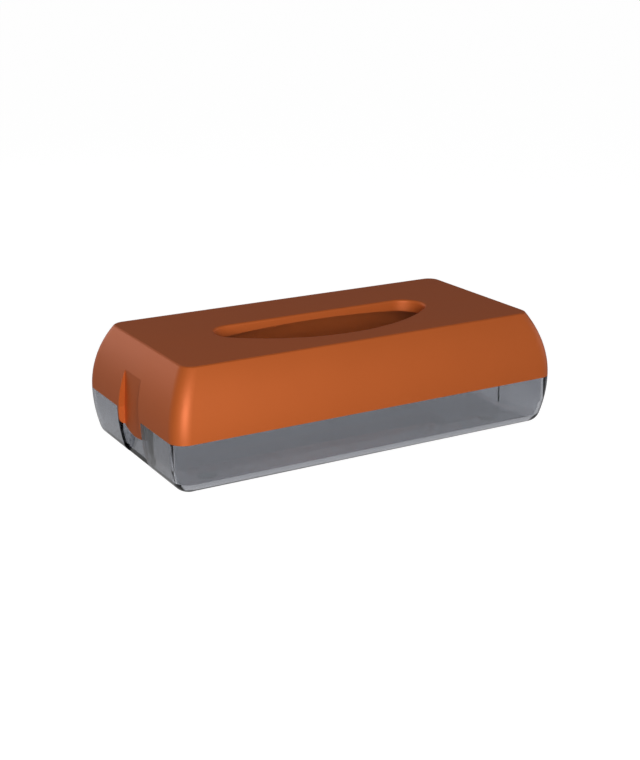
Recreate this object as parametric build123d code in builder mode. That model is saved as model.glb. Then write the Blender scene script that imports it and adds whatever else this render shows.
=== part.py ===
from build123d import *
from math import asin, degrees, sqrt
import os

# Table-top dispenser for a flat pack of facial tissues: a bulging cover with a half-moon
# slot clips onto a clear tray of the same outline by a tongue at each end.
# Millimetres, +Z up, length along X. The origin is the middle of the footprint on the table.

# Whole body
body_length = 270.0  # over the widest level, where cover and tray meet
body_width = 136.0
body_height = 73.8  # from the tray's underside to the flat top
parting_height = 32.2  # from the tray's underside to the widest level
upright_corner_radius = 10.0

# Cover
cover_wall = 2.5
cover_end_bulge_radius = 75.0
cover_side_bulge_radius = 76.0
top_edge_break = 0.6

# Slot in the top: a half-moon with a straight back, rounded tips and a rolled lip
slot_front_reach = 37.4  # from the long centre line to the bowed front wall
slot_back_reach = 14.0  # from the long centre line to the straight back wall
slot_front_radius = 107.4
slot_tip_radius = 14.1
slot_lip_radius = 1.6
collar_wall = 2.5
collar_depth = 4.7  # below the flat top, in the middle of the arched foot
collar_tip_depth = 8.0  # the same at the tips
collar_arch_radius = 800.0

# Latch recess in each end of the cover, and the channel-shaped tongue that hangs from it
recess_depth = 4.0  # from the widest level in to the flat panel
recess_top_width = 24.0
recess_foot_width = 31.4
flange_wall = 1.8
flange_toe_radius = 4.0
tongue_side_drop = 11.4  # from the parting level to the tongue's lower edge at its sides
tongue_tip_drop = 15.4  # the same at the middle

# Base tray
tray_wall = 2.5
tray_end_bulge_radius = 98.0
tray_side_bulge_radius = 118.0
tray_foot_radius = 9.0
lip_height = 4.0  # upstand inside the cover
lip_wall = 1.3
lip_lead_in = 0.5

# Anti-slip pads under the tray
pad_diameter = 12.0
pad_thickness = 1.2
pad_end_inset = 32.0  # from the widest level at the end in to the pad's centre
pad_side_inset = 29.0  # the same from the side

# Fits
fit_clearance = 0.4  # between cover and tray, sideways
cut_overrun = 6.0

# Levels and places that follow from the sizes above
tray_underside = pad_thickness
parting_level = tray_underside + parting_height
top_level = tray_underside + body_height
panel_face = body_length / 2 - recess_depth
panel_back = panel_face - cover_wall
recess_rise = sqrt(cover_end_bulge_radius**2 - (cover_end_bulge_radius - recess_depth) ** 2)
tongue_width = recess_foot_width + 2 * flange_wall
notch_face = panel_back - fit_clearance
notch_width = tongue_width + 2 * fit_clearance
pad_pitch_x = body_length - 2 * pad_end_inset
pad_pitch_y = body_width - 2 * pad_side_inset
both_ways = (-1, 1)

# Behind two of the rounded edges the hollow has a flat that touches the concentric round
flat_share = 2 - sqrt(2)  # setback of that flat, as a share of the round's radius
cover_corner_flat = flat_share * (upright_corner_radius - cover_wall)
tray_floor_flat = flat_share * (tray_foot_radius - tray_wall)


def end_plane(end, distance):
    """Upright plane that faces out of one end, with its y axis along Z."""
    return Plane(origin=(end * distance, 0, 0), x_dir=(0, end, 0), z_dir=(end, 0, 0))


def flange_plane(end, side):
    """Upright plane through the middle of one flange, with its x axis out of the end."""
    flange_place = side * (recess_foot_width + flange_wall) / 2
    return Plane(origin=(0, flange_place, 0), x_dir=(end, 0, 0), z_dir=(0, -end, 0))


def bulged_section(plane, half_span, flat_level, bulge_radius):
    """Section from the parting level to a flat, with walls that start upright and lean in."""
    rise = flat_level - parting_level
    turn = degrees(asin(rise / bulge_radius))
    with BuildSketch(plane) as section:
        with BuildLine():
            right = JernArc((half_span, parting_level), (0, rise), bulge_radius, turn)
            left = JernArc((-half_span, parting_level), (0, rise), bulge_radius, -turn)
            Line(right @ 0, left @ 0)
            Line(right @ 1, left @ 1)
        make_face()
    return section.sketch


def bulged_block(inset, flat_level, end_radius, side_radius):
    """The sharp-cornered body on one side of the parting level, drawn in by an inset."""
    half_length = body_length / 2 - inset
    half_width = body_width / 2 - inset
    end_section = bulged_section(Plane.XZ, half_length, flat_level, end_radius - inset)
    side_section = bulged_section(Plane.YZ, half_width, flat_level, side_radius - inset)
    with BuildPart() as block:
        extrude(end_section, amount=body_width, both=True)
        extrude(side_section, amount=body_length, both=True, mode=Mode.INTERSECT)
    return block.part


def upright_corners(block):
    """The four curved edges of a sharp-cornered bulging body."""
    return block.edges().filter_by(GeomType.LINE, reverse=True)


def cover_block(inset):
    """The cover's bulging body above the parting level."""
    flat_level = top_level - inset
    return bulged_block(inset, flat_level, cover_end_bulge_radius, cover_side_bulge_radius)


def tray_block(inset):
    """The tray's bulging body below the parting level."""
    flat_level = tray_underside + inset
    return bulged_block(inset, flat_level, tray_end_bulge_radius, tray_side_bulge_radius)


def slot_outline(margin):
    """The slot in the plane of the flat top, grown all round by a margin."""
    with BuildSketch(Plane.XY.offset(top_level)) as outline:
        with Locations((0, slot_front_radius - slot_front_reach)):
            Circle(slot_front_radius + margin)
        with Locations((0, slot_back_reach + margin)):
            back = (Align.CENTER, Align.MAX)
            Rectangle(body_length, body_width, align=back, mode=Mode.INTERSECT)
        fillet(outline.vertices(), slot_tip_radius + margin)
    return outline.sketch


def recess_outline(plane, margin):
    """The recess as seen from the end: wide at the parting level, narrower at its top."""
    half_foot = recess_foot_width / 2 + margin
    half_top = recess_top_width / 2 + margin
    with BuildSketch(plane) as outline:
        with BuildLine():
            Polyline(
                (-half_foot, parting_level),
                (half_foot, parting_level),
                (half_top, parting_level + recess_rise),
                (-half_top, parting_level + recess_rise),
                close=True,
            )
        make_face()
    return outline.sketch


def tongue_panel_outline(plane):
    """The tongue's panel as seen from the end, with its rounded lower edge."""
    half_width = tongue_width / 2
    side_level = parting_level - tongue_side_drop
    with BuildSketch(plane) as outline:
        with BuildLine():
            top_edge = Line((-half_width, parting_level), (half_width, parting_level))
            right = Line(top_edge @ 1, (half_width, side_level))
            left = Line(top_edge @ 0, (-half_width, side_level))
            ThreePointArc(right @ 1, (0, parting_level - tongue_tip_drop), left @ 1)
        make_face()
    return outline.sketch


def flange_outline(plane):
    """One side of the tongue's channel: outer edge on the tray's bulge, toe rounded."""
    turn = degrees(asin(tongue_side_drop / tray_end_bulge_radius))
    side_level = parting_level - tongue_side_drop
    with BuildSketch(plane) as outline:
        with BuildLine():
            top_edge = Line((panel_back, parting_level), (body_length / 2, parting_level))
            outer = JernArc(top_edge @ 1, (0, -1), tray_end_bulge_radius, -turn)
            foot = Line(outer @ 1, (panel_back, side_level))
            Line(foot @ 1, top_edge @ 0)
        make_face()
        toe = outline.vertices().group_by(Axis.Y)[0].sort_by(Axis.X)[-1]
        fillet(toe, flange_toe_radius)
    return outline.sketch


def mouth_outline(inset):
    """The cover's hollow at the parting level, drawn in all round by an inset."""
    gap = cover_wall + inset
    with BuildSketch(Plane.XY.offset(parting_level)) as outline:
        RectangleRounded(
            body_length - 2 * gap, body_width - 2 * gap, upright_corner_radius - gap
        )
        for end in both_ways:
            with Locations((end * (panel_back - inset + recess_depth), 0)):
                Rectangle(2 * recess_depth, tongue_width + 2 * inset, mode=Mode.SUBTRACT)
    return outline.sketch


def notch_outline(plane, margin):
    """The notch in the tray's end as seen from the end, from below it to the parting level."""
    half_width = notch_width / 2 + margin
    lower_level = tray_underside - cut_overrun
    with BuildSketch(plane) as outline:
        with BuildLine():
            Polyline(
                (-half_width, lower_level),
                (half_width, lower_level),
                (half_width, parting_level),
                (-half_width, parting_level),
                close=True,
            )
        make_face()
    return outline.sketch


# Block from which the slot leaves a collar, with a foot that arches up in the middle
with BuildPart() as collar_block:
    extrude(slot_outline(collar_wall), amount=-collar_tip_depth)
    with BuildSketch(Plane.XZ):
        with Locations((0, top_level - collar_depth - collar_arch_radius)):
            Circle(collar_arch_radius)
    extrude(amount=body_width, both=True, mode=Mode.SUBTRACT)

# Hollow of the cover, which leaves that block and a wall round each recess
with BuildPart() as cover_hollow:
    add(cover_block(cover_wall))
    chamfer(upright_corners(cover_hollow), cover_corner_flat)
    add(collar_block.part, mode=Mode.SUBTRACT)
    for end in both_ways:
        surround = recess_outline(end_plane(end, panel_back), flange_wall)
        extrude(surround, amount=recess_depth + cut_overrun, mode=Mode.SUBTRACT)

# Cover
with BuildPart() as cover:
    add(cover_block(0))
    fillet(upright_corners(cover), upright_corner_radius)
    chamfer(cover.faces().sort_by(Axis.Z)[-1].edges(), top_edge_break)
    add(cover_hollow.part, mode=Mode.SUBTRACT)
    extrude(slot_outline(0), amount=-(collar_tip_depth + cut_overrun), mode=Mode.SUBTRACT)
    slot_rim = cover.faces().sort_by(Axis.Z)[-1].inner_wires()[0].edges()
    fillet(slot_rim, slot_lip_radius)
    for end in both_ways:
        recess = recess_outline(end_plane(end, panel_face), 0)
        extrude(recess, amount=recess_depth + cut_overrun, mode=Mode.SUBTRACT)
        extrude(tongue_panel_outline(end_plane(end, panel_back)), amount=cover_wall)
        for side in both_ways:
            extrude(flange_outline(flange_plane(end, side)), amount=flange_wall / 2, both=True)

# Hollow of the tray: its walls follow the bulge below and rise straight to the lip
with BuildPart() as tray_hollow:
    add(tray_block(tray_wall))
    fillet(upright_corners(tray_hollow), upright_corner_radius - tray_wall)
    chamfer(tray_hollow.faces().sort_by(Axis.Z)[0].edges(), tray_floor_flat)
    extrude(mouth_outline(fit_clearance + lip_wall), amount=-parting_height, mode=Mode.INTERSECT)
    for end in both_ways:
        surround = notch_outline(end_plane(end, notch_face - tray_wall), tray_wall)
        extrude(surround, amount=body_length, mode=Mode.SUBTRACT)

# Base tray
with BuildPart() as base_tray:
    add(tray_block(0))
    fillet(upright_corners(base_tray), upright_corner_radius)
    fillet(base_tray.faces().sort_by(Axis.Z)[0].edges(), tray_foot_radius)
    add(tray_hollow.part, mode=Mode.SUBTRACT)
    for end in both_ways:
        notch = notch_outline(end_plane(end, notch_face), 0)
        extrude(notch, amount=body_length, mode=Mode.SUBTRACT)
    with BuildSketch(Plane.XY.offset(parting_level)) as lip_ring:
        add(mouth_outline(fit_clearance))
        add(mouth_outline(fit_clearance + lip_wall), mode=Mode.SUBTRACT)
    extrude(amount=lip_height)
    lip_crest = base_tray.faces().sort_by(Axis.Z)[-1].outer_wire().edges()
    chamfer(lip_crest, lip_lead_in)

# Each moulding goes to its own file
os.makedirs("parts", exist_ok=True)
cover.part.label = "cover"
export_step(cover.part, "parts/cover.step")
base_tray.part.label = "base_tray"
export_step(base_tray.part, "parts/base_tray.step")

# Pads, one file each
rows = {"front": -1, "back": 1}
columns = {"left": -1, "right": 1}
for row, y_side in rows.items():
    for column, x_side in columns.items():
        place = (x_side * pad_pitch_x / 2, y_side * pad_pitch_y / 2, 0)
        with BuildPart() as pad:
            with BuildSketch(Plane(place)):
                Circle(pad_diameter / 2)
            extrude(amount=pad_thickness)
        pad.part.label = f"pad_{row}_{column}"
        export_step(pad.part, f"parts/{pad.part.label}.step")
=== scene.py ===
import math

import bmesh
import bpy
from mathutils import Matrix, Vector

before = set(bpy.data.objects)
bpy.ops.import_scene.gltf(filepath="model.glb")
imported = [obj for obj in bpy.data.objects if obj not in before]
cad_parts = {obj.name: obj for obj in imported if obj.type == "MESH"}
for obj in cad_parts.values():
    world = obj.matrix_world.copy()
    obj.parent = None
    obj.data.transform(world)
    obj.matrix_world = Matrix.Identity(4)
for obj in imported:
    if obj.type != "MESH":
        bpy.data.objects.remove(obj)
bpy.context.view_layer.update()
scene = bpy.context.scene

# Base tray
# The lower half: one injection moulding in smoke-grey see-through SAN, polished by its mould.
# Its bulging walls end in a thin lip that the cover slips over, with a notch at each end.
MM = 0.001
MIX_A, MIX_B, MIX_RESULT = 6, 7, 2  # the colour sockets of a Mix node, whose names aren't unique


def linear(hex_colour):
    """An sRGB hex colour as the linear colour that a shader socket takes."""
    channels = [int(hex_colour[i:i + 2], 16) / 255 for i in (1, 3, 5)]
    return [c / 12.92 if c <= 0.04045 else ((c + 0.055) / 1.055) ** 2.4 for c in channels] + [1]


def add_node(owner, kind, inputs=None, **settings):
    """Adds a node to a material or world, and links or sets its inputs by name or number."""
    node = owner.node_tree.nodes.new(kind)
    for name, value in settings.items():
        setattr(node, name, value)
    for key, value in (inputs or {}).items():
        if isinstance(value, bpy.types.NodeSocket):
            owner.node_tree.links.new(value, node.inputs[key])
        else:
            node.inputs[key].default_value = value
    return node


def new_material(name):
    """An empty node material, with its output node."""
    material = bpy.data.materials.new(name)
    material.use_nodes = True
    material.node_tree.nodes.clear()
    return material, add_node(material, "ShaderNodeOutputMaterial")


# Smoked SAN as moulded: glassy on the outside, and grey all through. Each wall that is looked
# through tints what lies behind it, and a long way inside the wall darkens it more. The two
# faces of a wall run side by side and bend the view little, so its IOR is below solid SAN's and
# the coat gives the gloss. The faint clouds are the flow marks of the melt.
FLOW_MARK = 18 * MM
SMOKE_TINT = (0, 0, 0.07, 1)
SMOKE_DENSITY = 0.056 / MM
smoke_san, output = new_material("smoked_san_moulded")
place = add_node(smoke_san, "ShaderNodeTexCoord").outputs["Object"]
flow = add_node(smoke_san, "ShaderNodeTexNoise", {
    "Vector": place, "Scale": 1 / FLOW_MARK, "Detail": 3.0}).outputs["Fac"]
grey = add_node(smoke_san, "ShaderNodeMix", {
    "Factor": flow, MIX_A: linear("#C0C2C6"), MIX_B: linear("#C6C8CC"),
}, data_type="RGBA").outputs[MIX_RESULT]
polish = add_node(smoke_san, "ShaderNodeMapRange", {
    "Value": flow, "To Min": 0.02, "To Max": 0.05}).outputs["Result"]
san = add_node(smoke_san, "ShaderNodeBsdfPrincipled", {
    "Base Color": grey,
    "Roughness": polish,
    "IOR": 1.25,
    "Transmission Weight": 1.0,
    "Coat Weight": 0.6,
    "Coat Roughness": 0.03,
    "Coat IOR": 1.5,
})
smoke = add_node(smoke_san, "ShaderNodeVolumeAbsorption", {
    "Color": SMOKE_TINT, "Density": SMOKE_DENSITY})
smoke_san.node_tree.links.new(san.outputs[0], output.inputs["Surface"])
smoke_san.node_tree.links.new(smoke.outputs[0], output.inputs["Volume"])
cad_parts["base_tray"].material_slots[0].material = smoke_san

# Anti-slip pads
# Four discs die-cut from a sheet of clear soft PU, stuck to the flat underside of the tray.
# The smoked floor of the tray above them hides nearly all of them.

# Clear PU as cast: a gel that lets the light straight through, under a thin dull skin whose
# grain comes from the backing film.
PAD_GRAIN = 0.6 * MM
clear_pu, output = new_material("clear_pu_cast")
place = add_node(clear_pu, "ShaderNodeTexCoord").outputs["Object"]
grain = add_node(clear_pu, "ShaderNodeTexNoise", {
    "Vector": place, "Scale": 1 / PAD_GRAIN, "Detail": 2.0}).outputs["Fac"]
gel = add_node(clear_pu, "ShaderNodeBsdfTransparent", {"Color": linear("#F6F8F8")})
skin = add_node(clear_pu, "ShaderNodeBsdfPrincipled", {
    "Base Color": linear("#E8ECEC"),
    "Roughness": 0.25,
    "IOR": 1.45,
    "Transmission Weight": 1.0,
})
skin_share = add_node(clear_pu, "ShaderNodeMapRange", {
    "Value": grain, "To Min": 0.02, "To Max": 0.1}).outputs["Result"]
pu = add_node(clear_pu, "ShaderNodeMixShader", {
    "Fac": skin_share, 1: gel.outputs[0], 2: skin.outputs[0]})
clear_pu.node_tree.links.new(pu.outputs[0], output.inputs["Surface"])
for pad in ("pad_front_left", "pad_front_right", "pad_back_left", "pad_back_right"):
    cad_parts[pad].material_slots[0].material = clear_pu

# Cover
# The upper half: one injection moulding in opaque orange ABS, lifted off to refill the box.
# A latch tongue at each end drops into the tray's notch, and the half-moon slot in the top has
# a rolled lip.

# Satin ABS as moulded: a soft, warm highlight on the upright corners and a pale sheen where the
# top is seen flat. The grain is 0.1 mm on the real one and is drawn coarser here to show at all.
COLOUR_DRIFT = 30 * MM
SATIN_GRAIN = 0.35 * MM
GRAIN_DEPTH = 0.03 * MM
orange_abs, output = new_material("orange_abs_satin")
place = add_node(orange_abs, "ShaderNodeTexCoord").outputs["Object"]
drift = add_node(orange_abs, "ShaderNodeTexNoise", {
    "Vector": place, "Scale": 1 / COLOUR_DRIFT, "Detail": 4.0}).outputs["Fac"]
orange = add_node(orange_abs, "ShaderNodeMix", {
    "Factor": drift, MIX_A: linear("#CC6427"), MIX_B: linear("#D16729"),
}, data_type="RGBA").outputs[MIX_RESULT]
grain = add_node(orange_abs, "ShaderNodeTexNoise", {
    "Vector": place, "Scale": 1 / SATIN_GRAIN, "Detail": 2.0}).outputs["Fac"]
bump = add_node(orange_abs, "ShaderNodeBump", {
    "Height": grain, "Strength": 0.15, "Distance": GRAIN_DEPTH}).outputs["Normal"]
satin = add_node(orange_abs, "ShaderNodeMapRange", {
    "Value": drift, "To Min": 0.53, "To Max": 0.57}).outputs["Result"]
abs_shell = add_node(orange_abs, "ShaderNodeBsdfPrincipled", {
    "Base Color": orange,
    "Metallic": 0.29,
    "Roughness": satin,
    "IOR": 1.5,
    "Specular IOR Level": 0.45,
    "Normal": bump,
})
orange_abs.node_tree.links.new(abs_shell.outputs[0], output.inputs["Surface"])
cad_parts["cover"].material_slots[0].material = orange_abs

# Floor
# A wide pale table top that turns up at its far rim, a hair below the pads.
# The eye sees it white, also through the tray and, dimmer, in its gloss, and it still takes the
# object's shadow.
FLOOR_RADIUS = 9.0
FLOOR_SIDES = 96
RIM_HEIGHT = 1.2
FLOOR_LEVEL = -0.3 * MM
shape = bmesh.new()
bmesh.ops.create_circle(shape, cap_ends=True, segments=FLOOR_SIDES, radius=FLOOR_RADIUS)
rim = bmesh.ops.extrude_edge_only(shape, edges=[e for e in shape.edges if e.is_boundary])["geom"]
rim_top = [v for v in rim if isinstance(v, bmesh.types.BMVert)]
bmesh.ops.translate(shape, verts=rim_top, vec=(0, 0, RIM_HEIGHT))
bmesh.ops.recalc_face_normals(shape, faces=shape.faces)
bmesh.ops.translate(shape, verts=shape.verts, vec=(0, 0, FLOOR_LEVEL))
floor_mesh = bpy.data.meshes.new("floor")
shape.to_mesh(floor_mesh)
shape.free()
floor = bpy.data.objects.new("floor", floor_mesh)
scene.collection.objects.link(floor)

# Matt white paper. Its glow is for the eye alone and lights nothing, and its matt share is kept
# grey, so that little light comes up under the bulging walls.
GLOW_LEVEL = 0.975
GLOSS_SHARE = 0.3  # how much of the glow a glossy face mirrors
SCATTERED = 0.5  # a ray's diffuse depth is above this once a matt face has scattered it
paper, output = new_material("white_paper_matt")
ray = add_node(paper, "ShaderNodeLightPath").outputs
seen = add_node(paper, "ShaderNodeMath", {
    0: ray["Is Camera Ray"], 1: ray["Is Transmission Ray"]}, operation="MAXIMUM").outputs[0]
gloss = add_node(paper, "ShaderNodeMath", {
    0: ray["Is Glossy Ray"], 1: GLOSS_SHARE}, operation="MULTIPLY").outputs[0]
seen = add_node(paper, "ShaderNodeMath", {0: seen, 1: gloss}, operation="MAXIMUM").outputs[0]
unscattered = add_node(paper, "ShaderNodeMath", {
    0: ray["Diffuse Depth"], 1: SCATTERED}, operation="LESS_THAN").outputs[0]
seen = add_node(paper, "ShaderNodeMath", {0: seen, 1: unscattered}, operation="MULTIPLY").outputs[0]
level = add_node(paper, "ShaderNodeMath", {
    0: seen, 1: GLOW_LEVEL}, operation="MULTIPLY").outputs[0]
glow = add_node(paper, "ShaderNodeEmission", {"Color": (1, 1, 1, 1), "Strength": level})
matt = add_node(paper, "ShaderNodeBsdfDiffuse", {"Color": linear("#707070")})
both = add_node(paper, "ShaderNodeAddShader", {0: glow.outputs[0], 1: matt.outputs[0]})
paper.node_tree.links.new(both.outputs[0], output.inputs["Surface"])
floor_mesh.materials.append(paper)

# Light
# A soft box in front, low and a little to the left, two weak cards that lift the end walls, one
# behind on the left and one on the right, and a dim even room, lighter where a sheen mirrors it.
LIGHT_DISTANCE = 1.1
LIGHT_TARGET = Vector((0, 0, 40 * MM))
ROOM_GREY = 0.095
ROOM_SHEEN = 0.2


def soft_light(name, side, rise, width, watts):
    """A round soft light, so many degrees round to the left from the front and so many up."""
    side, rise = math.radians(side), math.radians(rise)
    way = Vector((
        -math.sin(side) * math.cos(rise), -math.cos(side) * math.cos(rise), math.sin(rise)))
    lamp = bpy.data.lights.new(name, "AREA")
    lamp.shape = "DISK"
    lamp.size = width
    lamp.energy = watts
    light = bpy.data.objects.new(name, lamp)
    light.location = LIGHT_TARGET + way * LIGHT_DISTANCE
    light.rotation_euler = (-way).to_track_quat("-Z", "Y").to_euler()
    scene.collection.objects.link(light)


soft_light("key_softbox", side=26, rise=14, width=0.35, watts=8.65)
soft_light("back_card", side=156, rise=15, width=0.6, watts=2.1)
soft_light("right_card", side=-80, rise=4, width=0.6, watts=1.6)
room = bpy.data.worlds.new("dim_room")
room.use_nodes = True
room.node_tree.nodes.clear()
ray = add_node(room, "ShaderNodeLightPath").outputs
room_tone = add_node(room, "ShaderNodeMapRange", {
    "Value": ray["Is Glossy Ray"], "To Min": ROOM_GREY, "To Max": ROOM_SHEEN}).outputs["Result"]
air = add_node(room, "ShaderNodeBackground", {"Color": (1, 1, 1, 1), "Strength": room_tone})
add_node(room, "ShaderNodeOutputWorld", {"Surface": air.outputs[0]})
scene.world = room

# Camera
# It stands in front on the left and looks down on the box a little, with a mild tele lens, as
# in the photograph. Lens and sensor are in millimetres, its place in metres.
LENS = 65.27
SENSOR_WIDTH = 36.0
CAMERA_PLACE = Vector((-0.4265, -0.7340, 0.3059))
CAMERA_VIEW = Vector((0.4765, 0.8242, -0.3059))
camera_data = bpy.data.cameras.new("camera")
camera_data.lens = LENS
camera_data.sensor_width = SENSOR_WIDTH
camera = bpy.data.objects.new("camera", camera_data)
camera.location = CAMERA_PLACE
camera.rotation_euler = CAMERA_VIEW.to_track_quat("-Z", "Y").to_euler()
scene.collection.objects.link(camera)
scene.camera = camera
scene.view_settings.view_transform = "Standard"
